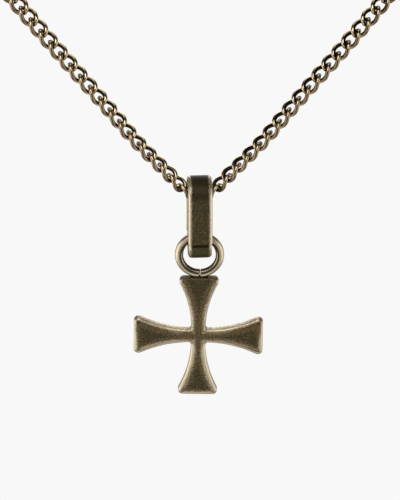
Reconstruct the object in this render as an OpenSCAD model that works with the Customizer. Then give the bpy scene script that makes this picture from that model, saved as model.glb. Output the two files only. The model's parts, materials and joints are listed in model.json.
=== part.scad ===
// Cast cross pattee pendant on a curb chain: a cross with a jump ring soldered to its top,
// a closed strap bail through the ring, and a necklace chain through the bail.
// Millimetres, +Z up, front towards -Y. The origin is at the clasp, where the chain lies on
// the nape.

/* [Cross] */
// Distance from the centre of the cross to the end of each arm
cross_reach = 13.1; // [12.6:0.1:13.6]
// Half the width of an arm at its narrowest, beside the centre
waist_half = 1.45; // [1.2:0.05:1.8]
// Radius of the hollow curve along each side of an arm
flare_radius = 23; // [21:0.5:26]
// Thickness of the cast plate
plate_thickness = 2; // [1.6:0.1:2.4]
// Radius of the rounded edges of the casting
edge_radius = 0.5; // [0.3:0.05:0.6]
// Radius of the two corners at the end of each arm, seen from the front
corner_radius = 0.95; // [0.8:0.05:1.2]
// Radius of the small fillet in the crotch between two arms
crotch_radius = 0.5; // [0.3:0.05:0.6]

/* [Jump ring] */
// Outer diameter of the ring
ring_diameter = 10; // [9.8:0.1:10.2]
// Diameter of the ring's wire
ring_wire = 1.7; // [1.5:0.05:1.7]
// How deep the ring sinks into the top of the cross where it is soldered
ring_sink = 0.1; // [0.05:0.05:0.2]
// Width of the slit where the ring's two ends meet
slit_width = 0.16; // [0.1:0.02:0.24]
// How far the slit lies to the right of the middle
slit_offset = 0.25; // [0:0.05:0.5]
// Width of the solder under the ring
solder_width = 3.4; // [2.6:0.1:4]
// Angle that the ring and the cross hang off plumb, with the foot of the cross to the left
hang_angle = 0.8; // [-2:0.2:2]

/* [Bail] */
// Width of the strap, seen from the front
bail_width = 4.9; // [4.6:0.1:5]
// Width of the foot, where the loop turns under the ring
foot_width = 4.7; // [4.4:0.1:4.8]
// Depth of the closed loop from front to back
bail_depth = 7.5; // [7.1:0.1:7.9]
// Thickness of the strap in the two legs and the crown
strap_thickness = 1.5; // [1.3:0.05:1.6]
// Thickness of the foot that carries the ring
foot_thickness = 2.5; // [2.2:0.1:2.6]
// Height of the loop, outside
bail_height = 17.7; // [17.6:0.1:18.1]
// Radius of the rounded outer edges of the strap
bail_edge = 0.5; // [0.3:0.05:0.6]
// Angle that the bail is turned round a plumb line, so that its front faces to the right
bail_turn = 3.5; // [0:0.5:4]

/* [Chain] */
// Diameter of the chain's wire
chain_wire = 0.8; // [0.7:0.05:0.8]
// Half the width of a link, along the middle of its wire
link_half_width = 1.38; // [1.36:0.01:1.4]
// Half the length of a link, along the middle of its wire
link_half_length = 2.16; // [2.14:0.01:2.18]
// Angle that each end of a link is twisted by
link_twist = 52; // [50:0.5:54]
// Shortest distance from one link to the next
shortest_pitch = 3.02; // [3:0.01:3.03]

/* [Fastening] */
// Diameter of the clasp's round body, along the middle of its rim
clasp_diameter = 5.6; // [5:0.1:6]
// Thickness of the clasp's rim
clasp_rim = 1.4; // [1.2:0.1:1.5]
// Diameter of the clasp's eye, along the middle of its wire
eye_diameter = 3; // [2.8:0.1:3.4]
// Diameter of the end ring, along the middle of its wire
end_ring_diameter = 4.2; // [4:0.1:4.8]
// Diameter of the wire of the eye and of the end ring
ring_end_wire = 0.8; // [0.7:0.05:0.8]
// Angle of the end ring from level
end_ring_tilt = 20; // [18:1:25]
// Angle of the eye from level
eye_tilt = 30; // [25:1:35]

/* [Hidden] */
$fn = 48;

brass_worn = [0.72, 0.62, 0.44];
brass_dark = [0.36, 0.31, 0.22];
// Clear space between the end ring and the clasp's rim, and the play of a ring in the last link
link_gap = 0.2;
link_play = 0.5;

// The middle link, inside the bail, is a plain oval that joins the two mirrored halves of the
// chain. It stands nearly upright.
middle_link_up = 31.3;
middle_half_length = 2.48;
middle_half_width = 1.5;
middle_tilt = 104;

// The links beside the middle one: how far the step out to each of them reaches, how steeply it
// climbs, and how far the link's face looks up
bail_links = [
    // reach, climb, looks up
    [0, 0, 90],
    [2.65, 21, 88],
    [2.93, 42, 77],
    [2.91, 49, 76],
];

// The rest of the right-hand half as far as the nape, measured from the centre of the cross:
// how far to the side, how far back and how far up the middle of the chain lies, how far its
// face is turned round from the front, and how far its face looks up
half_chain = [
    // aside, back, up, turned, looks up
    [9.05, 0.4, 38.9, 0, 84],
    [13.4, 2.1, 43.1, 0, 87],
    [17.9, 4.8, 47.7, 0, 82],
    [22.9, 7.3, 52.9, 0, 73],
    [29, 10.4, 59.1, 0, 65],
    [37.5, 15.4, 67.8, 12, 55],
    [47, 24.5, 76.5, 38, 40],
    [55.5, 38, 84.5, 62, 24],
    [61, 56, 91, 80, 10],
    [62.5, 76, 96, 98, 2],
    [57.5, 97, 99.5, 122, 0],
    [43, 115, 102, 148, 0],
    [22, 125, 103.5, 168, 0],
    [0, 128, 104, 180, 0],
];
steps_per_row = 10;
link_segments = 10;
wire_sides = 5;

// Heights above the centre of the cross, and the place of the nape
ring_up = cross_reach + ring_diameter / 2 - ring_sink;
ring_clearance = 0.17;
foot_reach = foot_width / 2 * cos(bail_turn) + ring_wire / 2 * sin(bail_turn);
foot_seat_up = ring_up - ring_clearance
    + sqrt(pow(ring_diameter / 2 - ring_wire, 2) - pow(foot_reach, 2));
bail_bottom = foot_seat_up - foot_thickness;
nape_row = half_chain[len(half_chain) - 1];
nape = [nape_row.x, nape_row.y, nape_row.z];

// Links are counted outwards from the middle one
function flip(v) = [-v.x, v.y, v.z];
function facing(turned, looks_up) =
    [sin(turned) * cos(looks_up), -cos(turned) * cos(looks_up), sin(looks_up)];
function bail_link_place(k) = k == 0 ? [0, 0, middle_link_up] : bail_link_place(k - 1)
    + bail_links[k][0] * [cos(bail_links[k][1]), 0, sin(bail_links[k][1])];
last_bail_link = len(bail_links) - 1;

// A smooth line through the rows, carried on past the nape by its own mirror image
rows = concat([concat(bail_link_place(last_bail_link), [0, bail_links[last_bail_link][2]])],
    half_chain);
last_row = len(rows) - 1;
function row(i) = i < 0 ? 2 * rows[0] - rows[1]
    : i > last_row ? let(r = rows[2 * last_row - i]) [-r[0], r[1], r[2], r[3], r[4]]
    : rows[i];
function through(a, b, c, d, t) =
    b + t / 2 * (c - a + t * (2 * a - 5 * b + 4 * c - d + t * (3 * b - a - 3 * c + d)));
function place(u) = let(i = min(floor(u), last_row),
    r = through(row(i - 1), row(i), row(i + 1), row(i + 2), u - i)) [r[0], r[1], r[2]];

// Distance along the line at each step, paired with the row position reached there
last_step = last_row * steps_per_row;
travelled = [for (i = 0, s = 0; i <= last_step;
    s = s + norm(place((i + 1) / steps_per_row) - place(i / steps_per_row)), i = i + 1)
    [s, i / steps_per_row]];
half_length = travelled[last_step][0];
function chain_point(s) = s > half_length ? flip(chain_point(2 * half_length - s))
    : place(lookup(s, travelled));
function chain_face(s) = let(u = lookup(s, travelled), i = min(floor(u), last_row - 1),
    r = row(i) + (row(i + 1) - row(i)) * (u - i)) facing(r[3], r[4]);

// Places of the fastening along the line, from the nape
inside_reach = (ring_end_wire + clasp_rim) / 2 + link_gap;
end_ring_s = (clasp_diameter + end_ring_diameter) / 2 - inside_reach;
eye_s = (clasp_diameter + eye_diameter) / 2;
last_link_reach = link_half_length - (chain_wire + ring_end_wire) / 2 - link_play;
right_length = half_length - end_ring_s - end_ring_diameter / 2 - last_link_reach;
left_length = half_length - eye_s - eye_diameter / 2 - last_link_reach;
steps_right = floor(right_length / shortest_pitch);
steps_left = floor(left_length / shortest_pitch);

function link_place(k, pitch) = k <= last_bail_link ? bail_link_place(k)
    : chain_point((k - last_bail_link) * pitch);
function link_face(k, pitch) = k <= last_bail_link ? facing(0, bail_links[k][2])
    : chain_face((k - last_bail_link) * pitch);

// One oval link of wire, with its length along X and its width along Y. Its plane is turned
// about X by a roll: a plain link's is the same all round, and a curb link's runs from one
// twist to the other.
function unit(v) = v / norm(v);
function oval(a, half_length, half_width, roll) =
    [half_length * cos(a), half_width * sin(a) * cos(roll), half_width * sin(a) * sin(roll)];
function plain_link(a) = oval(a, middle_half_length, middle_half_width, middle_tilt);
function curb_link(a) = oval(a, link_half_length, link_half_width, -link_twist * cos(a));
function wire_ring(p, before, after) = let(
    t = unit(after - before),
    out = unit(p - t * (p * t)),
    side = cross(t, out))
    [for (k = [0:wire_sides - 1]) let(b = 360 * k / wire_sides)
        p + chain_wire / 2 * (out * cos(b) + side * sin(b))];
function link_angle(i) = 360 * (i + 0.5) / link_segments;
plain_points = [for (i = [0:link_segments - 1]) let(a = link_angle(i))
    each wire_ring(plain_link(a), plain_link(a - 1), plain_link(a + 1))];
curb_points = [for (i = [0:link_segments - 1]) let(a = link_angle(i))
    each wire_ring(curb_link(a), curb_link(a - 1), curb_link(a + 1))];
link_faces = [for (i = [0:link_segments - 1]) for (k = [0:wire_sides - 1])
    let(i2 = (i + 1) % link_segments, k2 = (k + 1) % wire_sides,
        here = i * wire_sides + k, next = i2 * wire_sides + k,
        over = i2 * wire_sides + k2, back = i * wire_sides + k2)
    each [[here, next, over], [here, over, back]]];

module middle_link() {
    translate(link_place(0, 0) - nape) polyhedron(plain_points, link_faces);
}

// A link of the right-hand half runs outwards, in line with its two neighbours
module curb_link_at(k, pitch) {
    t = unit(link_place(k + 1, pitch) - link_place(k - 1, pitch));
    f = link_face(k, pitch);
    up = unit(f - t * (f * t));
    across = cross(up, t);
    p = link_place(k, pitch) - nape;
    multmatrix([[t.x, across.x, up.x, p.x],
                [t.y, across.y, up.y, p.y],
                [t.z, across.z, up.z, p.z],
                [0, 0, 0, 1]])
        polyhedron(curb_points, link_faces);
}

// Outline of the cross drawn in by a given depth, as points [along an arm, aside from it]
corner_along = cross_reach - corner_radius;
corner_angle = acos((corner_along - waist_half) / (flare_radius + corner_radius));
corner_aside = waist_half + flare_radius - (flare_radius + corner_radius) * sin(corner_angle);
crotch_reach = flare_radius - crotch_radius;
crotch_out = (flare_radius - sqrt(2 * pow(crotch_reach, 2) - pow(flare_radius, 2))) / 2;
crotch_angle = acos(crotch_out / crotch_reach);
corner_steps = 3;
flare_steps = 5;

function arc(centre, radius, from, to, steps, first, last) =
    [for (k = [first:last]) let(a = from + (to - from) * k / steps)
        centre + radius * [cos(a), sin(a)]];
function half_crotch_to_end(inset) = concat(
    arc([corner_along, corner_aside], corner_radius - inset, 0, 180 - corner_angle,
        corner_steps, 0, corner_steps),
    arc([waist_half, waist_half + flare_radius], flare_radius + inset, -corner_angle,
        -crotch_angle, flare_steps, 1, flare_steps),
    [(waist_half + crotch_out - (crotch_radius + inset) / sqrt(2)) * [1, 1]]);
function quarter(inset) = let(half = half_crotch_to_end(inset), n = len(half))
    concat(half, [for (i = [n - 2:-1:0]) [half[i].y, half[i].x]]);
function outline(inset) = [for (turn = [0:3]) for (p = quarter(inset))
    [p.x * cos(90 * turn) - p.y * sin(90 * turn), p.x * sin(90 * turn) + p.y * cos(90 * turn)]];

// Rings of the outline from the front face to the back face, round both edges
edge_steps = 3;
edge_levels = [
    for (k = [0:edge_steps]) let(a = 90 * k / edge_steps)
        [edge_radius * (1 - sin(a)), -plate_thickness / 2 + edge_radius * (1 - cos(a))],
    for (k = [edge_steps:-1:0]) let(a = 90 * k / edge_steps)
        [edge_radius * (1 - sin(a)), plate_thickness / 2 - edge_radius * (1 - cos(a))],
];

// The faces join each arm's two sides with quadrilaterals, so none of them is hollow
module cast_plate() {
    per_quarter = len(quarter(0));
    n = 4 * per_quarter;
    m = len(edge_levels);
    points = [for (level = edge_levels) for (p = outline(level[0])) [p.x, level[1], p.y]];
    sides = [for (j = [0:m - 2]) for (i = [0:n - 1]) let(i2 = (i + 1) % n)
        [j * n + i, j * n + i2, (j + 1) * n + i2, (j + 1) * n + i]];
    crotch = (per_quarter - 1) / 2;
    front = concat(
        [for (arm = [0:3]) for (i = [0:crotch - 1])
            let(here = arm * per_quarter + i, over = ((arm + 3) % 4 + 1) * per_quarter - 1 - i)
            [here, over, over - 1, here + 1]],
        [[for (arm = [3:-1:0]) arm * per_quarter + crotch]]);
    back = [for (f = front) [for (k = [len(f) - 1:-1:0]) f[k] + (m - 1) * n]];
    polyhedron(points, concat(sides, front, back));
}

module wire_loop(diameter, wire) {
    rotate_extrude() translate([diameter / 2, 0]) circle(d = wire);
}

module soldered_ring() {
    solder_height = 0.3;
    solder_depth = 1.1;
    slit_lean = 8;
    difference() {
        translate([0, 0, ring_up]) rotate([90, 0, 0]) wire_loop(ring_diameter - ring_wire, ring_wire);
        translate([slit_offset, 0, cross_reach + solder_height + ring_wire]) rotate([0, slit_lean, 0])
            cube([slit_width, ring_wire + 1, 2 * ring_wire], center = true);
    }
    translate([0, 0, cross_reach]) cube([solder_width, solder_depth, 2 * solder_height], center = true);
}

module cross_with_ring() {
    color(brass_dark) translate([0, 0, ring_up] - nape) rotate([0, hang_angle, 0])
        translate([0, 0, -ring_up]) {
            cast_plate();
            soldered_ring();
        }
}

// A rectangle with rounded corners, from its lower left corner
module rounded_rectangle(size, r) {
    translate([r, 0]) square([size.x - 2 * r, size.y]);
    translate([0, r]) square([size.x, size.y - 2 * r]);
    for (x = [r, size.x - r], y = [r, size.y - r]) translate([x, y]) circle(r);
}

// Half of a round-edged disc with its axis along X, standing on its cut face
module half_disc(width) {
    rotate([0, -90, 0]) rotate([0, 0, -90]) rotate_extrude(angle = 180)
        intersection() {
            translate([-bail_depth / 2, -width / 2])
                rounded_rectangle([bail_depth, width], bail_edge);
            translate([0, -width / 2]) square([bail_depth, width]);
        }
}

module slot() {
    slot_radius = bail_depth / 2 - strap_thickness;
    slot_low = foot_seat_up + slot_radius;
    slot_high = bail_bottom + bail_height - strap_thickness - slot_radius;
    rotate([90, 0, 90]) linear_extrude(bail_width + 2, center = true) {
        translate([0, slot_low]) circle(slot_radius);
        translate([0, slot_high]) circle(slot_radius);
        translate([-slot_radius, slot_low]) square([2 * slot_radius, slot_high - slot_low]);
    }
}

module strap_bail() {
    low = bail_bottom + bail_depth / 2;
    high = bail_bottom + bail_height - bail_depth / 2;
    color(brass_dark) translate(-nape) rotate([0, 0, bail_turn]) difference() {
        union() {
            translate([-bail_width / 2, -bail_depth / 2, low]) linear_extrude(high - low)
                rounded_rectangle([bail_width, bail_depth], bail_edge);
            translate([0, 0, high]) half_disc(bail_width);
            translate([0, 0, low]) rotate([180, 0, 0]) half_disc(foot_width);
        }
        slot();
    }
}

module curb_chain_left() {
    color(brass_worn) {
        middle_link();
        mirror([1, 0, 0]) for (k = [1:last_bail_link + steps_left])
            curb_link_at(k, left_length / steps_left);
    }
}

module curb_chain_right() {
    color(brass_worn) for (k = [1:last_bail_link + steps_right])
        curb_link_at(k, right_length / steps_right);
}

module clasp() {
    color(brass_worn) {
        rotate([90, 0, 0]) wire_loop(clasp_diameter, clasp_rim);
        translate(flip(chain_point(half_length - eye_s)) - nape) rotate([eye_tilt, 0, 0])
            wire_loop(eye_diameter, ring_end_wire);
    }
}

module end_ring() {
    color(brass_worn) translate(chain_point(half_length - end_ring_s) - nape)
        rotate([end_ring_tilt, 0, 0]) wire_loop(end_ring_diameter, ring_end_wire);
}

cross_with_ring();  // cross
strap_bail();  // bail
curb_chain_left();
curb_chain_right();
clasp();
end_ring();
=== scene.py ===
import json

import bpy
import numpy as np
from mathutils import Matrix, Vector, noise


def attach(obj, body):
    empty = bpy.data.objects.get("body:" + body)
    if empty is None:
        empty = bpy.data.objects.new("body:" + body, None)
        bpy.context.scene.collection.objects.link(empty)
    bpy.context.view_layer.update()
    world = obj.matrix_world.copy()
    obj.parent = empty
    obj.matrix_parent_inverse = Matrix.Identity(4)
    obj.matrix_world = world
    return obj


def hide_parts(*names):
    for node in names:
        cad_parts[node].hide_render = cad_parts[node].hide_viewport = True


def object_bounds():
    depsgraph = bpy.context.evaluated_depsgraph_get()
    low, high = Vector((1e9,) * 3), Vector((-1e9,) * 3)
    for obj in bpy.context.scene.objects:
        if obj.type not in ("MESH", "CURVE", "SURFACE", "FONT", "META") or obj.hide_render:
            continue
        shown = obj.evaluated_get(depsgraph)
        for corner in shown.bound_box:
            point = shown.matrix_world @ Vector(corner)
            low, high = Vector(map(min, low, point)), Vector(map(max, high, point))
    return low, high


# A cast cross pattee pendant on a curb chain, in antique brass.
# The object's lengths are millimetres, and become metres where its meshes are made and placed.
# The studio's lengths are metres. Angles are degrees.
mm = 0.001

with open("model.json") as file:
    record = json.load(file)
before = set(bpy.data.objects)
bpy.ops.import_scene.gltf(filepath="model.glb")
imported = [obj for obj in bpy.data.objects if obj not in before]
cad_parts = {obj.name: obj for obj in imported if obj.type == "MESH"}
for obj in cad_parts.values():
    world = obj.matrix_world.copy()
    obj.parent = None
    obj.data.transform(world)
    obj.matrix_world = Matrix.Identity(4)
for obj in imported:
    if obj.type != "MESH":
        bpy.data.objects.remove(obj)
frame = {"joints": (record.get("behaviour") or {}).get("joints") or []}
cad_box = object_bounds()
scene = bpy.context.scene
joint_at = {joint["name"]: Vector(joint["pos_m"]) for joint in frame["joints"]}
ring_centre = joint_at["cross_swing"]
crown_centre = joint_at["bail_swing"]

# The cross
cross_reach = 13.1
waist_half = 1.45
flare_radius = 23
plate_thickness = 2
corner_radius = 0.95
crotch_radius = 0.5
shoulder_width = 0.64
shoulder_depth = 0.52
cast_waver = 0.035
waver_size = 1.9
waver_seed = 1

# The jump ring and its solder
ring_radius = 4.15
ring_wire = 1.7
ring_up = 18
hang_angle = 0.8
slit_offset = 0.25
slit_middle = 0.12
slit_half_gap = 0.02
slit_bevel = 0.06
slit_slant = 0.14
slit_lean = 8
slanted_share = 0.2
solder_half_width = 1.9
solder_half_depth = 0.62
solder_half_height = 0.34

# The bail
bail_width = 4.9
foot_width = 4.7
bail_depth = 7.5
bail_height = 17.7
foot_line = bail_depth - bail_height
strap_thickness = 1.5
foot_thickness = 2.5
bail_turn = 3.5
strap_edge_width = 0.8
strap_edge_depth = 0.55
strap_bevel = 0.14
foot_sink = 0.05
foot_step_top = 0.34
foot_step_length = 0.24
groove_up = 0.12
groove_half = 0.16
groove_depth = 0.09
groove_pinch = 0.05

# The chain, link by link outwards from the plain oval link inside the bail
chain_wire = 0.8
drawn_wire = 0.9
link_half_width = 1.38
link_half_length = 2.16
link_twist = 52
shortest_pitch = 3.02
middle_link_up = 31.3
middle_half_length = 2.48
middle_half_width = 1.5
middle_tilt = 104
bail_links = [
    # reach, climb, looks up
    (0, 0, 90),
    (2.65, 21, 88),
    (2.93, 42, 77),
    (2.91, 49, 76),
]
half_chain = [
    # aside, back, up, turned, looks up
    (9.05, 0.4, 38.9, 0, 84),
    (13.4, 2.1, 43.1, 0, 87),
    (17.9, 4.8, 47.7, 0, 82),
    (22.9, 7.3, 52.9, 0, 73),
    (29, 10.4, 59.1, 0, 65),
    (37.5, 15.4, 67.8, 12, 55),
    (47, 24.5, 76.5, 38, 40),
    (55.5, 38, 84.5, 62, 24),
    (61, 56, 91, 80, 10),
    (62.5, 76, 96, 98, 2),
    (57.5, 97, 99.5, 122, 0),
    (43, 115, 102, 148, 0),
    (22, 125, 103.5, 168, 0),
    (0, 128, 104, 180, 0),
]
nape = np.array(half_chain[-1][:3], float)

# The clasp and the end ring
clasp_diameter = 5.6
clasp_rim = 1.4
eye_diameter = 3
end_ring_diameter = 4.2
ring_end_wire = 0.8
end_ring_tilt = 20
eye_tilt = 30
link_gap = 0.2
link_play = 0.5


def unit(v):
    return v / np.linalg.norm(v, axis=-1, keepdims=True)


def cosd(angle):
    return np.cos(np.radians(angle))


def sind(angle):
    return np.sin(np.radians(angle))


# Meshes

def quads(rows, columns, close_rows=True):
    """Faces of a grid of points that is stored row by row, each row being a closed ring"""
    faces = []
    for i in range(rows if close_rows else rows - 1):
        for k in range(columns):
            i2 = (i + 1) % rows
            k2 = (k + 1) % columns
            faces.append((i * columns + k, i2 * columns + k, i2 * columns + k2, i * columns + k2))
    return faces


def sweep(path, along, outward, radius, sides):
    """Rings of points round a path. The first point of each ring is on its outward side."""
    turn = 360 * np.arange(sides) / sides
    side = np.cross(along, outward)
    spokes = outward[:, None] * cosd(turn)[:, None] + side[:, None] * sind(turn)[:, None]
    return path[:, None] + radius * spokes


def make_piece(name, points, faces, finish, place=Matrix.Identity(4), marks=None):
    """A smooth, closed mesh from points in millimetres, with optional named marks for each point"""
    mesh = bpy.data.meshes.new(name)
    mesh.from_pydata((np.reshape(points, (-1, 3)) * mm).tolist(), [], faces)
    for mark, values in (marks or {}).items():
        mesh.attributes.new(mark, "FLOAT", "POINT").data.foreach_set("value", values)
    mesh.shade_smooth()
    mesh.materials.append(finish)
    piece = bpy.data.objects.new(name, mesh)
    scene.collection.objects.link(piece)
    piece.matrix_world = place
    return piece


def hand_over(piece, body, node):
    """The piece moves with its body and stands for a node, whose part is hidden"""
    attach(piece, body)
    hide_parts(node)


# The cross

def arc(centre, radius, start, end, steps):
    """Points on an arc with both ends included, its angles counted from the right"""
    angle = np.linspace(start, end, steps + 1)
    return np.column_stack([centre[0] + radius * cosd(angle), centre[1] + radius * sind(angle)])


corner_along = cross_reach - corner_radius
corner_angle = np.degrees(np.arccos((corner_along - waist_half) / (flare_radius + corner_radius)))
corner_aside = waist_half + flare_radius - (flare_radius + corner_radius) * sind(corner_angle)
crotch_reach = flare_radius - crotch_radius
crotch_out = (flare_radius - np.sqrt(2 * crotch_reach**2 - flare_radius**2)) / 2
crotch_angle = np.degrees(np.arccos(crotch_out / crotch_reach))
crotch_at = waist_half + crotch_out


def cross_quarter(inset):
    """A quarter of the outline, from one arm's end through the crotch to the next arm's end,
    drawn in by an inset"""
    half = np.vstack([
        arc((corner_along, corner_aside), corner_radius - inset, 0, 180 - corner_angle, 8),
        arc((waist_half, waist_half + flare_radius), flare_radius + inset,
            -corner_angle, -crotch_angle, 24)[1:],
        arc((crotch_at, crotch_at), crotch_radius + inset, -crotch_angle, -135, 4)[1:],
    ])
    return np.vstack([half, half[-2::-1, ::-1]])


def cross_outline(inset):
    quarter = cross_quarter(inset)
    turns = [np.array([[cosd(90 * k), sind(90 * k)], [-sind(90 * k), cosd(90 * k)]]) for k in range(4)]
    return np.vstack([quarter @ turn for turn in turns])


def face_grid(points, first, quarter, across):
    """Fills a face of the cross inside one ring of its outline: a grid on each arm and a middle"""
    faces = []
    crotch = quarter // 2

    def bridge(a, b):
        """Points from one side to the other, both ends included"""
        start = len(points)
        for k in range(1, across):
            points.append(points[a] + (points[b] - points[a]) * k / across)
        return [a, *range(start, start + across - 1), b]

    def fill(rows):
        for r in range(len(rows) - 1):
            for k in range(across):
                faces.append((rows[r][k], rows[r][k + 1], rows[r + 1][k + 1], rows[r + 1][k]))

    inner = []
    for arm in range(4):
        rows = []
        for i in range(crotch + 1):
            here = first + arm * quarter + i
            over = first + ((arm + 3) % 4 + 1) * quarter - 1 - i
            rows.append(bridge(here, over))
        fill(rows)
        inner.append(rows[-1])
    right, top, left, bottom = inner
    middle = [top]
    for r in range(1, across):
        middle.append(bridge(left[across - r], right[r]))
    middle.append(bottom[::-1])
    fill(middle)
    return faces


def cross_plate(finish, place):
    """A plate with rounded shoulders on both faces, which wavers slightly as a casting does"""
    edge_steps = 8
    across = 12
    turn = 90 * np.arange(edge_steps + 1) / edge_steps
    insets = shoulder_width * (1 - sind(turn))
    depths = shoulder_depth * (1 - cosd(turn))
    front = plate_thickness / 2
    levels = [(inset, depth - front) for inset, depth in zip(insets, depths)]
    levels += [(inset, front - depth) for inset, depth in reversed(list(zip(insets, depths)))]
    points = []
    for inset, back in levels:
        points += [np.array([p[0], back, p[1]]) for p in cross_outline(inset)]
    quarter = len(cross_quarter(0))
    ring = 4 * quarter
    faces = quads(len(levels), ring, close_rows=False)
    faces += face_grid(points, 0, quarter, across)
    faces += [face[::-1] for face in face_grid(points, (len(levels) - 1) * ring, quarter, across)]
    noise.seed_set(waver_seed)
    wavering = [p + cast_waver * np.array(noise.noise_vector(Vector(p) / waver_size)) for p in points]
    return make_piece("cross_plate", wavering, faces, finish, place)


def jump_ring(finish, place):
    """The ring's two ends meet at its lowest point, the left one cut at a slant"""
    steps = 96
    sides = 28
    wire = ring_wire / 2
    per_mm = np.degrees(1 / ring_radius)
    slit = np.degrees(np.arcsin(slit_offset / ring_radius))
    start = slit + slit_half_gap * per_mm
    end = slit + 360 - slit_half_gap * per_mm
    bevel = slit_bevel * per_mm
    angles = np.concatenate([[start], np.linspace(start + bevel, end - bevel, steps), [end]])
    wires = np.full(len(angles), wire)
    wires[[0, -1]] = wire - slit_bevel
    turn = 360 * np.arange(sides) / sides
    slanted = steps * slanted_share
    points = []
    for i, (angle, radius) in enumerate(zip(angles, wires)):
        out = radius * cosd(turn)
        back = radius * sind(turn)
        near_start = np.clip(1 - i / slanted, 0, 1)
        near_end = np.clip(1 - (steps - i) / slanted, 0, 1)
        lean = (near_start + near_end) * sind(slit_lean) * out
        slant = near_end * slit_slant * (back - wire)
        around = angle + (slant - lean) * per_mm
        points.append(np.column_stack([
            (ring_radius + out) * sind(around), back, -(ring_radius + out) * cosd(around)]))
    faces = quads(len(angles), sides, close_rows=False)
    faces.append(tuple(range(sides)))
    last = (len(angles) - 1) * sides
    faces.append(tuple(range(last + sides - 1, last - 1, -1)))
    return make_piece("jump_ring", np.vstack(points), faces, finish, place)


def solder(finish, place):
    """A low mound of solder between the ring and the top of the cross"""
    rings = 12
    sides = 32
    top_of_cross = cross_reach - ring_up
    turn = 360 * np.arange(sides) / sides
    points = []
    for i in range(rings + 1):
        lift = -90 + 180 * i / rings
        points.append(np.column_stack([
            solder_half_width * cosd(lift) * cosd(turn),
            solder_half_depth * cosd(lift) * sind(turn),
            np.full(sides, solder_half_height * sind(lift) + top_of_cross)]))
    faces = quads(rings + 1, sides, close_rows=False)
    return make_piece("ring_solder", np.vstack(points), faces, finish, place)


# The bail

def stadium(radius, low, leg_heights, arc_steps):
    """A closed loop in the YZ plane, its crown centred on the origin: up the front leg, over the
    crown, down the back leg and round the foot. Leg heights are shares of a leg's length."""
    legs = low - low * leg_heights
    over = arc((0, 0), radius, 180, 0, arc_steps)
    under = arc((0, low), radius, 0, -180, arc_steps)
    front = np.column_stack([np.full(len(legs), -radius), legs])
    back = np.column_stack([np.full(len(legs), radius), legs[::-1]])
    return np.vstack([front[1:-1], over, back[1:-1], under])


def strap_section(above_foot, depth):
    """Points round the strap, from its outer face over its right edge to the inner face and back.
    Each is a distance aside and one inwards. The foot is narrower and sunk, below a groove."""
    foot = np.clip((foot_step_top - above_foot) / foot_step_length, 0, 1)
    groove = np.exp(-((above_foot - groove_up) / groove_half) ** 2)
    half = bail_width / 2 - foot * (bail_width - foot_width) / 2 - groove_pinch * groove
    sink = foot_sink * foot + groove_depth * groove
    flat = half - strap_edge_width
    corner = np.arange(0, 91, 15)
    edge = np.column_stack([
        flat + strap_edge_width * sind(corner), sink + strap_edge_depth * (1 - cosd(corner))])
    corner = np.arange(0, 91, 45)
    bevel = np.column_stack([
        half - strap_bevel * (1 - cosd(corner)), depth - strap_bevel * (1 - sind(corner))])
    right = np.vstack([edge, bevel])
    left = right[::-1] * np.array([-1, 1])
    outer_face = [(flat * share, sink) for share in (-0.5, 0, 0.5)]
    inner_face = [(half * share, depth) for share in (0.5, 0, -0.5)]
    return np.vstack([outer_face, right, inner_face, left])


def bail(finish, place):
    """A closed strap, swept round its loop"""
    bend_steps = 24
    slot_low = foot_line + foot_thickness - strap_thickness
    groove_rows = [0, 0.012, 0.024, 0.036, 0.05]
    leg_heights = np.concatenate([groove_rows, np.linspace(0.08, 1, 14)])
    outer = stadium(bail_depth / 2, foot_line, leg_heights, bend_steps)
    inner = stadium(bail_depth / 2 - strap_thickness, slot_low, leg_heights, bend_steps)
    points = []
    for out, into in zip(outer, inner):
        depth = np.linalg.norm(out - into)
        inward = (into - out) / depth
        for aside, inwards in strap_section(out[1] - foot_line, depth):
            points.append((aside, *(out + inward * inwards)))
    columns = len(points) // len(outer)
    return make_piece("bail_strap", points, quads(len(outer), columns), finish, place)


# The chain

def facing(turned, looks_up):
    """Where a link's flat side looks: straight ahead is the front, 90 up is the top"""
    return np.array([sind(turned) * cosd(looks_up), -cosd(turned) * cosd(looks_up), sind(looks_up)])


def bail_link_place(k):
    """The middle of a link near the bail, reached by a step from each link before it"""
    place = np.array([0, 0, middle_link_up], float)
    for reach, climb, looks_up in bail_links[1:k + 1]:
        place = place + reach * np.array([cosd(climb), 0, sind(climb)])
    return place


last_bail_link = len(bail_links) - 1
flip = np.array([-1, 1, 1])


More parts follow.
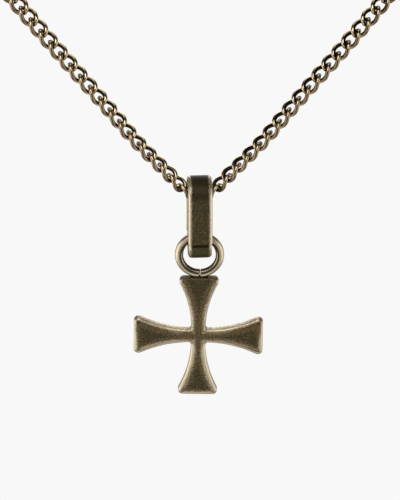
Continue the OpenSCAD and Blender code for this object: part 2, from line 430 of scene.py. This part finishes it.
class ChainLine:
    """The smooth line of the right-hand half, from the bail to the nape, and its faces"""

    steps_per_row = 10

    def __init__(self):
        start = (*bail_link_place(last_bail_link), 0, bail_links[-1][2])
        self.rows = np.array([start, *half_chain], float)
        self.last = len(self.rows) - 1
        self.at = np.arange(self.last * self.steps_per_row + 1) / self.steps_per_row
        places = np.array([self.place(u) for u in self.at])
        steps = np.linalg.norm(np.diff(places, axis=0), axis=1)
        self.travelled = np.concatenate([[0], np.cumsum(steps)])
        self.length = self.travelled[-1]

    def row(self, i):
        """A row of the table, with one more before the first and the mirrored half's after the last"""
        if i < 0:
            return 2 * self.rows[0] - self.rows[1]
        if i > self.last:
            return self.rows[2 * self.last - i] * np.array([-1, 1, 1, 1, 1])
        return self.rows[i]

    def place(self, u):
        """A point of the smooth curve through all the rows, u rows along"""
        i = min(int(u), self.last)
        a, b, c, d = [self.row(i + j)[:3] for j in (-1, 0, 1, 2)]
        t = u - i
        return b + t / 2 * (c - a + t * (2 * a - 5 * b + 4 * c - d + t * (3 * b - a - 3 * c + d)))

    def point(self, s):
        """A point s millimetres along the line, which goes on past the nape in the other half"""
        if s > self.length:
            return self.point(2 * self.length - s) * flip
        return self.place(np.interp(s, self.travelled, self.at))

    def face(self, s):
        """Where a link's flat side looks, s millimetres along the line"""
        u = np.interp(s, self.travelled, self.at)
        i = min(int(u), self.last - 1)
        row = self.row(i) + (self.row(i + 1) - self.row(i)) * (u - i)
        return facing(row[3], row[4])


line = ChainLine()
inside_reach = (ring_end_wire + clasp_rim) / 2 + link_gap
end_ring_s = (clasp_diameter + end_ring_diameter) / 2 - inside_reach
eye_s = (clasp_diameter + eye_diameter) / 2
last_link_reach = link_half_length - (chain_wire + ring_end_wire) / 2 - link_play
right_length = line.length - end_ring_s - end_ring_diameter / 2 - last_link_reach
left_length = line.length - eye_s - eye_diameter / 2 - last_link_reach


def link_place(k, pitch):
    if k <= last_bail_link:
        return bail_link_place(k)
    return line.point((k - last_bail_link) * pitch)


def link_face(k, pitch):
    if k <= last_bail_link:
        return facing(0, bail_links[k][2])
    return line.face((k - last_bail_link) * pitch)


link_segments = 44
link_angles = 360 * (np.arange(link_segments) + 0.5) / link_segments
wire_sides = 12


def link_points(half_length, half_width, roll, wire):
    """One oval link of wire, with its length along X and its width along Y, turned by a roll"""
    def oval(a):
        lean = roll(a)
        return np.column_stack([
            half_length * cosd(a), half_width * sind(a) * cosd(lean), half_width * sind(a) * sind(lean)])

    path = oval(link_angles)
    along = unit(oval(link_angles + 1) - oval(link_angles - 1))
    outward = unit(path - along * np.sum(path * along, axis=1, keepdims=True))
    return sweep(path, along, outward, wire / 2, wire_sides)


def curb_roll(a):
    return -link_twist * cosd(a)


def plain_roll(a):
    return np.full(len(a), middle_tilt)


curb_link = link_points(link_half_length, link_half_width, curb_roll, drawn_wire)
curb_link_by_bail = link_points(link_half_length, link_half_width, curb_roll, chain_wire)
plain_link = link_points(middle_half_length, middle_half_width, plain_roll, chain_wire)


def curb_links(length):
    """The links of a half, each in line with its two neighbours. The bail swings close past the
    first two, so they keep the solids' thinner wire."""
    steps = int(length / shortest_pitch)
    pitch = length / steps
    for k in range(1, last_bail_link + steps + 1):
        along = unit(link_place(k + 1, pitch) - link_place(k - 1, pitch))
        face = link_face(k, pitch)
        up = unit(face - along * (face @ along))
        across = np.cross(up, along)
        link = curb_link_by_bail if k < last_bail_link else curb_link
        yield link @ np.stack([along, across, up]) + link_place(k, pitch)


def rub_and_shade_marks(sides, handling_and_shade):
    """How exposed each point of a wire is, from 0 inside its link's hole to 1 on the outside,
    and a second mark for each of its rings of points, for wear by handling and painted shade"""
    turn = 360 * np.arange(sides) / sides
    exposed = 0.5 + 0.5 * cosd(turn)
    return {"exposed": np.tile(exposed, len(handling_and_shade)), "handling_and_shade": np.repeat(handling_and_shade, sides)}


def link_handling_and_shade():
    """A link's ends are worn most by handling; its lower strand is made darker by painted shade, and its
    upper strand is a little less worn
    """
    # Painted shade: the lower strand of each link is darkened
    lower = np.clip(-sind(link_angles), 0, 1)
    upper = np.clip(sind(link_angles), 0, 1)
    return 1 - 0.6 * lower ** 2 - 0.1 * upper


def chain_half(name, links, finish):
    """The links of a half, as one piece that is placed by the nape"""
    one_link = quads(link_segments, wire_sides)
    points_per_link = link_segments * wire_sides
    faces = []
    for k in range(len(links)):
        faces += [tuple(i + k * points_per_link for i in face) for face in one_link]
    marks = rub_and_shade_marks(wire_sides, np.tile(link_handling_and_shade(), len(links)))
    points = np.array(links).reshape(-1, 3) - nape
    return make_piece(name, points, faces, finish, marks=marks)


def round_ring(name, diameter, wire, place, finish):
    """A closed ring of round wire, lying level before it is placed"""
    steps = 96
    sides = 24
    a = 360 * np.arange(steps) / steps
    outward = np.column_stack([cosd(a), sind(a), np.zeros(steps)])
    along = np.column_stack([-sind(a), cosd(a), np.zeros(steps)])
    points = sweep(diameter / 2 * outward, along, outward, wire / 2, sides)
    return make_piece(name, points, quads(steps, sides), finish, place, rub_and_shade_marks(sides, np.ones(steps)))


# Finishes

class Value:
    """A shader socket that Python's operators work on: each operation adds a Math node"""

    def __init__(self, nodes, socket):
        self.nodes = nodes
        self.socket = socket

    def math(self, operation, *values):
        return self.nodes.add("ShaderNodeMath", {"operation": operation}, dict(enumerate(values)))

    def other(self, name):
        """Another output of the same node"""
        return Value(self.nodes, self.socket.node.outputs[name])

    def __add__(self, other):
        return self.math("ADD", self, other)

    __radd__ = __add__

    def __sub__(self, other):
        return self.math("SUBTRACT", self, other)

    def __rsub__(self, other):
        return self.math("SUBTRACT", other, self)

    def __mul__(self, other):
        return self.math("MULTIPLY", self, other)

    __rmul__ = __mul__

    def __truediv__(self, other):
        return self.math("DIVIDE", self, other)

    def __rtruediv__(self, other):
        return self.math("DIVIDE", other, self)

    def __pow__(self, other):
        return self.math("POWER", self, other)

    def __abs__(self):
        return self.math("ABSOLUTE", self)

    def least(self, other):
        return self.math("MINIMUM", self, other)

    def most(self, other):
        return self.math("MAXIMUM", self, other)


class Nodes:
    """A node tree that is filled through one method"""

    def __init__(self, tree):
        tree.nodes.clear()
        self.tree = tree

    def add(self, kind, settings=None, sockets=None, out=0):
        """Adds a node of a kind, with its settings first and then its sockets, set or linked"""
        node = self.tree.nodes.new(kind)
        for name, value in (settings or {}).items():
            setattr(node, name, value)
        for key, value in (sockets or {}).items():
            if isinstance(value, Value):
                self.tree.links.new(value.socket, node.inputs[key])
            else:
                node.inputs[key].default_value = value
        if len(node.outputs):
            return Value(self, node.outputs[out])

    def noise(self, place, size, roughness=0.5):
        """Soft bumps from 0 to 1, with their size in millimetres"""
        sockets = {"Vector": place, "Scale": 1 / (size * mm), "Detail": 2.0, "Roughness": roughness}
        return self.add("ShaderNodeTexNoise", {"noise_dimensions": "3D"}, sockets, "Fac")

    def ramp(self, value, low, high):
        """A soft step from 0 at low to 1 at high"""
        sockets = {"Value": value, "From Min": low, "From Max": high}
        return self.add("ShaderNodeMapRange", {"interpolation_type": "SMOOTHSTEP"}, sockets)

    def blend(self, mask, first, second):
        """A colour that goes from first to second as the mask goes from 0 to 1"""
        settings = {"data_type": "RGBA"}
        return self.add("ShaderNodeMix", settings, {0: mask, 6: first, 7: second}, 2)


def colour(*screen):
    """A screen colour, its red, green and blue from 0 to 255, as linear light"""
    light = [c / 255 / 12.92 if c <= 10 else ((c / 255 + 0.055) / 1.055) ** 2.4 for c in screen]
    return (*light, 1)


rubbed_brass = colour(240, 223, 190)
tarnish = colour(144, 124, 90)
olive_patina = colour(99, 91, 64)
# Black patina, also used for painted shade
black_patina_and_shade = colour(42, 38, 26)
wire_colours = {
    "worn": colour(232, 207, 168),
    "tarnished": colour(118, 90, 54),
    "patina": colour(84, 60, 30),
}


def antique_brass(name, wear_and_light_at, deep_and_shade_at, grain, grit, relief=0.03, worn_roughness=0.42,
                  dull_roughness=0.55, worn=rubbed_brass, tarnished=tarnish, patina=olive_patina):
    """Brass that goes from patina to worn metal as the first mask goes from 0 to 1. The patina goes from
    tarnished to its own colour as the second mask goes from 0 to 1, and on to black at 2. The first mask
    also carries painted highlights and painted shade, the second painted shade. Grain is the size
    of the cast surface's bumps, relief their height, and grit how much specks break up the colour."""
    material = bpy.data.materials.new(name)
    material.use_nodes = True
    nodes = Nodes(material.node_tree)
    place = nodes.add("ShaderNodeTexCoord", out="Object")
    bumps = nodes.noise(place, grain, roughness=0.6)
    speck = (nodes.ramp(bumps, 0.33, 0.67) - 0.5) * grit
    cloud = (nodes.noise(place, grain * 6) - 0.5) * grit
    # Worn metal, with painted highlights and painted shade from some of the masks
    rubbed_and_lit = nodes.ramp(wear_and_light_at(nodes, place) + speck * 0.22 + cloud * 0.4, 0.1, 1.0)
    # Patina, with painted shade from some of the masks
    deep_and_shade = deep_and_shade_at(nodes, place)
    patina_and_shade = nodes.ramp(deep_and_shade + cloud * 0.9 - speck * 1.1, 0.0, 1.0)
    black_and_shade = nodes.ramp(deep_and_shade, 1.1, 2.0)
    pits = nodes.ramp(speck, 0.1, -0.5) * (1 - rubbed_and_lit) * 0.4
    low = nodes.blend(black_and_shade, nodes.blend(patina_and_shade, tarnished, patina), black_patina_and_shade)
    base = nodes.blend(pits, nodes.blend(rubbed_and_lit, low, worn), black_patina_and_shade)
    bumped = nodes.add("ShaderNodeBump", None, {
        "Strength": 1.0, "Distance": relief * mm, "Height": bumps + cloud * 0.5}, "Normal")
    roughness = dull_roughness - rubbed_and_lit * (dull_roughness - worn_roughness)
    shader = nodes.add("ShaderNodeBsdfPrincipled", None, {
        "Base Color": base, "Metallic": 1.0, "Roughness": roughness, "Normal": bumped})
    nodes.add("ShaderNodeOutputMaterial", None, {"Surface": shader})
    return material


def parts_of(nodes, place):
    """A place's X, Y and Z in millimetres"""
    x = nodes.add("ShaderNodeSeparateXYZ", None, {0: place}, "X")
    return x / mm, x.other("Y") / mm, x.other("Z") / mm


def cross_edge(nodes, place):
    """How far inside the cross's outline a point lies, with the soldered end left out"""
    x, y, z = parts_of(nodes, place)
    along = abs(x).most(abs(z))
    aside = abs(x).least(abs(z))
    side = ((along - waist_half) ** 2 + (aside - (waist_half + flare_radius)) ** 2) ** 0.5 - flare_radius
    return side.least((cross_reach - along) * 1.3 + nodes.ramp(z, 8.5, 10.5) * 4)


def cross_wear_and_shade(nodes, place):
    """Rubbed along the edges. Painted shade makes the upper half darker than the foot, and the upper
    sides of the arms darker still.
    """
    x, y, z = parts_of(nodes, place)
    wall = nodes.ramp(abs(y), 0.7, 0.35)
    # Painted shade: the upper half of the cross is darkened
    upper = nodes.ramp(z, -2.5, 2.5)
    waist = nodes.ramp(abs(x).most(abs(z)), 4.0, 1.5)
    # Painted shade: the upper sides of the arms are darkened
    arm_top = nodes.ramp(z, 0.3, 1.0) * nodes.ramp(abs(x) - z, 0.0, 1.0)
    return 1.5 - cross_edge(nodes, place) - wall * 0.3 - upper * 0.35 - waist * 0.2 - arm_top * 0.12


def cross_deep(nodes, place):
    """Darkest in the middles of the faces"""
    return ((cross_edge(nodes, place) - 1.3) / 0.8).least(1.05)


def ring_wear_and_light(nodes, place):
    """Rubbed outside and bright at the slit, with a painted highlight in a line along the inside and
    painted shade by the solder
    """
    x, y, z = parts_of(nodes, place)
    outward = (x ** 2 + z ** 2) ** 0.5
    cut = nodes.ramp(abs(x - slit_middle), 0.3, 0.15) * nodes.ramp(z, -3, -3.4)
    # Painted highlight: a bright line along the inside of the wire
    inside_highlight = nodes.ramp(abs(outward - (ring_radius - 0.57)), 0.11, 0.03)
    outside = nodes.ramp(outward, ring_radius - 0.25, ring_radius + 0.15)
    # Painted shade: the ring is darkened by the solder, between the ring and the cross
    shade_by_solder = nodes.ramp(z, -4.2, -4.7)
    return outside * 1.1 + cut * 0.6 + inside_highlight * 0.75 - shade_by_solder * 0.9


def ring_deep(nodes, place):
    """Dark on the inner half of the wire"""
    x, y, z = parts_of(nodes, place)
    return nodes.ramp((x ** 2 + z ** 2) ** 0.5, ring_radius + 0.2, ring_radius - 0.2) * 1.3


def bail_wear(nodes, place):
    """Rubbed along the edges and across the foot's lowest edge, but not in the middle of the
    strap's flat sides"""
    x, y, z = parts_of(nodes, place)
    lowest = foot_line - bail_depth / 2
    past_leg = z - z.most(foot_line).least(0)
    into_strap = bail_depth / 2 - (y ** 2 + past_leg ** 2) ** 0.5
    flat_side = nodes.ramp(into_strap, 0.4, 0.75) * nodes.ramp(into_strap, 1.5, 1.15)
    foot_edge = nodes.ramp(z, lowest + 1.1, lowest + 0.5)
    from_edge = bail_width / 2 - abs(x)
    return 1.5 - from_edge / 0.65 - flat_side * 1.1 + foot_edge * 0.8


def bail_patina_and_shade(nodes, place):
    """Dark all over with patina, darkest in the groove above the foot; painted shade makes it darker
    still over the crown and under the foot
    """
    x, y, z = parts_of(nodes, place)
    # Painted shade: the crown is darkened
    crown = nodes.ramp(z, -1.5, 1.5)
    groove = nodes.ramp(abs(z - (foot_line + 0.15)), 0.5, 0.2)
    # Painted shade: under the foot is darkened
    foot = nodes.ramp(z, foot_line, foot_line - 0.5)
    return 0.9 + crown * 0.7 + groove * 0.9 + foot * 0.2


def wire_mark(nodes, name):
    """One of the marks that rub_and_shade_marks gives a wire's points"""
    return nodes.add("ShaderNodeAttribute", {"attribute_name": name}, out="Fac")


def wire_wear_and_shade(nodes, place):
    # The second mark also darkens each link's lower strand, which is painted shade
    return nodes.ramp(wire_mark(nodes, "exposed"), 0.38, 0.62) * wire_mark(nodes, "handling_and_shade") * 1.1


def wire_deep(nodes, place):
    return nodes.ramp(wire_mark(nodes, "exposed"), 0.55, 0.33) * 2.0


def solder_wear(nodes, place):
    return nodes.noise(place, 1.0) * 0.2


def solder_patina_and_shade(nodes, place):
    # Near black: the solder's dark patina, and painted shade where the ring meets the cross
    return nodes.noise(place, 1.0) * 0.4 + 1.6


# The object

def build_cross():
    cast_cross = antique_brass("cast_cross", cross_wear_and_shade, cross_deep, grain=0.34, grit=1.2)
    ring_brass = antique_brass("ring_brass", ring_wear_and_light, ring_deep, grain=0.25, grit=0.5, relief=0.008,
                               worn_roughness=0.38, dull_roughness=0.45)
    solder_dark = antique_brass("solder_dark", solder_wear, solder_patina_and_shade, grain=0.25, grit=0.8)
    ring_place = Matrix.Translation(ring_centre) @ Matrix.Rotation(np.radians(hang_angle), 4, "Y")
    cross_place = ring_place @ Matrix.Translation((0, 0, -ring_up * mm))
    plate = cross_plate(cast_cross, cross_place)
    ring = jump_ring(ring_brass, ring_place)
    mound = solder(solder_dark, ring_place)
    for piece in (plate, ring, mound):
        hand_over(piece, "cross", "cross")


def build_bail():
    strap_brass = antique_brass("bail_strap_brass", bail_wear, bail_patina_and_shade, grain=0.28, grit=0.85)
    bail_place = Matrix.Translation(crown_centre) @ Matrix.Rotation(np.radians(bail_turn), 4, "Z")
    hand_over(bail(strap_brass, bail_place), "bail", "bail")


def build_chain():
    finish = antique_brass("chain_brass_wire", wire_wear_and_shade, wire_deep, grain=0.35, grit=0.0, relief=0.0,
                           worn_roughness=0.14, dull_roughness=0.28, **wire_colours)
    right_links = list(curb_links(right_length))
    left_links = [plain_link + link_place(0, 0)]
    left_links += [points[:, ::-1] * flip for points in curb_links(left_length)]
    right = chain_half("curb_links_right", right_links, finish)
    left = chain_half("curb_links_left", left_links, finish)
    hand_over(right, "necklace", "curb_chain_right")
    hand_over(left, "necklace", "curb_chain_left")


def build_fastening():
    finish = antique_brass("clasp_brass_wire", wire_wear_and_shade, wire_deep, grain=0.4, grit=0.2, relief=0.003,
                           worn_roughness=0.2, dull_roughness=0.32, **wire_colours)
    upright = Matrix.Rotation(np.radians(90), 4, "X")
    body = round_ring("clasp_body", clasp_diameter, clasp_rim, upright, finish)

    def tilted(point, tilt):
        return Matrix.Translation((point - nape) * mm) @ Matrix.Rotation(np.radians(tilt), 4, "X")

    eye_place = tilted(line.point(line.length - eye_s) * flip, eye_tilt)
    eye = round_ring("clasp_eye", eye_diameter, ring_end_wire, eye_place, finish)
    end_place = tilted(line.point(line.length - end_ring_s), end_ring_tilt)
    end_ring = round_ring("end_ring_wire", end_ring_diameter, ring_end_wire, end_place, finish)
    hand_over(body, "necklace", "clasp")
    hand_over(eye, "necklace", "clasp")
    hand_over(end_ring, "necklace", "end_ring")


# The studio

target = ring_centre + Vector((0.1, 0, 1)) * mm
camera_rise = 25
camera_distance = 2.0
photo_scale = 4.936
photo_height = 500
pale = 0.93


def direction(azimuth, elevation):
    """From the target: azimuth 0 is the front, 90 the right"""
    return Vector((sind(azimuth) * cosd(elevation), -cosd(azimuth) * cosd(elevation), sind(elevation)))


def aim(thing, azimuth, elevation, distance):
    away = direction(azimuth, elevation)
    thing.location = target + away * distance
    thing.rotation_euler = (-away).to_track_quat("-Z", "Y").to_euler()
    scene.collection.objects.link(thing)


def photo_camera():
    data = bpy.data.cameras.new("photo_camera")
    data.sensor_fit = "VERTICAL"
    data.sensor_height = 36
    data.lens = photo_scale / mm * camera_distance * data.sensor_height / photo_height
    data.clip_start = 0.05
    camera = bpy.data.objects.new("photo_camera", data)
    aim(camera, 0, camera_rise, camera_distance)
    scene.camera = camera


def softbox(name, azimuth, elevation, distance, width, height, power):
    """A wide lamp that the camera doesn't see, with its power in watts"""
    data = bpy.data.lights.new(name, "AREA")
    data.shape = "RECTANGLE"
    data.size = width
    data.size_y = height
    data.energy = power
    light = bpy.data.objects.new(name, data)
    aim(light, azimuth, elevation, distance)
    light.visible_camera = False


def studio_lights():
    # name, azimuth, elevation, distance, width, height, power
    softbox("key_above", -12, 48, 0.55, 0.5, 0.36, 1.05)
    softbox("panel_left", -76, -12, 0.55, 0.8, 0.6, 1.75)
    softbox("panel_right", 76, -12, 0.55, 0.8, 0.6, 1.4)
    softbox("strip_below", 0, -52, 0.6, 0.3, 0.8, 0.4)
    softbox("back_high", 180, 70, 0.6, 0.3, 0.3, 0.25)
    softbox("back_wide", 180, 12, 0.8, 0.5, 0.4, 1.0)


def studio_world():
    """Pale to the camera and dim to what the metal reflects, darkest at the sides and above"""
    world = bpy.data.worlds.new("studio")
    scene.world = world
    world.use_nodes = True
    nodes = Nodes(world.node_tree)
    away = nodes.add("ShaderNodeTexCoord", out="Generated")
    y = nodes.add("ShaderNodeSeparateXYZ", None, {0: away}, "Y")
    z = y.other("Z")
    before = nodes.ramp(y, 0.2, -0.9)
    behind = nodes.ramp(y, 0.3, 1.0)
    below = nodes.ramp(z, 0.0, -0.8)
    room = 0.02 + before * 0.12 + behind * 0.3 + below * 0.06
    seen = nodes.add("ShaderNodeLightPath", out="Is Camera Ray")
    strength = seen * pale + (1 - seen) * room
    background = nodes.add("ShaderNodeBackground", None, {"Color": (1, 1, 1, 1), "Strength": strength})
    nodes.add("ShaderNodeOutputWorld", None, {"Surface": background})


def pale_floor():
    """A plain pale floor that shows no shadow and isn't mirrored in the metal"""
    half = 4.0
    drop = 0.06
    height = cad_box[0].z - drop
    square = [(-half, -half), (half, -half), (half, half), (-half, half)]
    mesh = bpy.data.meshes.new("floor")
    mesh.from_pydata([(x, y, height) for x, y in square], [], [(0, 1, 2, 3)])
    material = bpy.data.materials.new("pale_floor")
    material.use_nodes = True
    nodes = Nodes(material.node_tree)
    shader = nodes.add("ShaderNodeBsdfPrincipled", None, {
        "Base Color": (0.02, 0.02, 0.02, 1), "Roughness": 1.0, "Specular IOR Level": 0.0,
        "Emission Color": (1, 1, 1, 1), "Emission Strength": pale})
    nodes.add("ShaderNodeOutputMaterial", None, {"Surface": shader})
    mesh.materials.append(material)
    floor = bpy.data.objects.new("floor", mesh)
    scene.collection.objects.link(floor)
    floor.visible_glossy = False
    floor.visible_diffuse = False
    floor.visible_shadow = False


photo_camera()
build_cross()
build_bail()
build_chain()
build_fastening()
studio_lights()
studio_world()
pale_floor()
scene.view_settings.view_transform = "Standard"
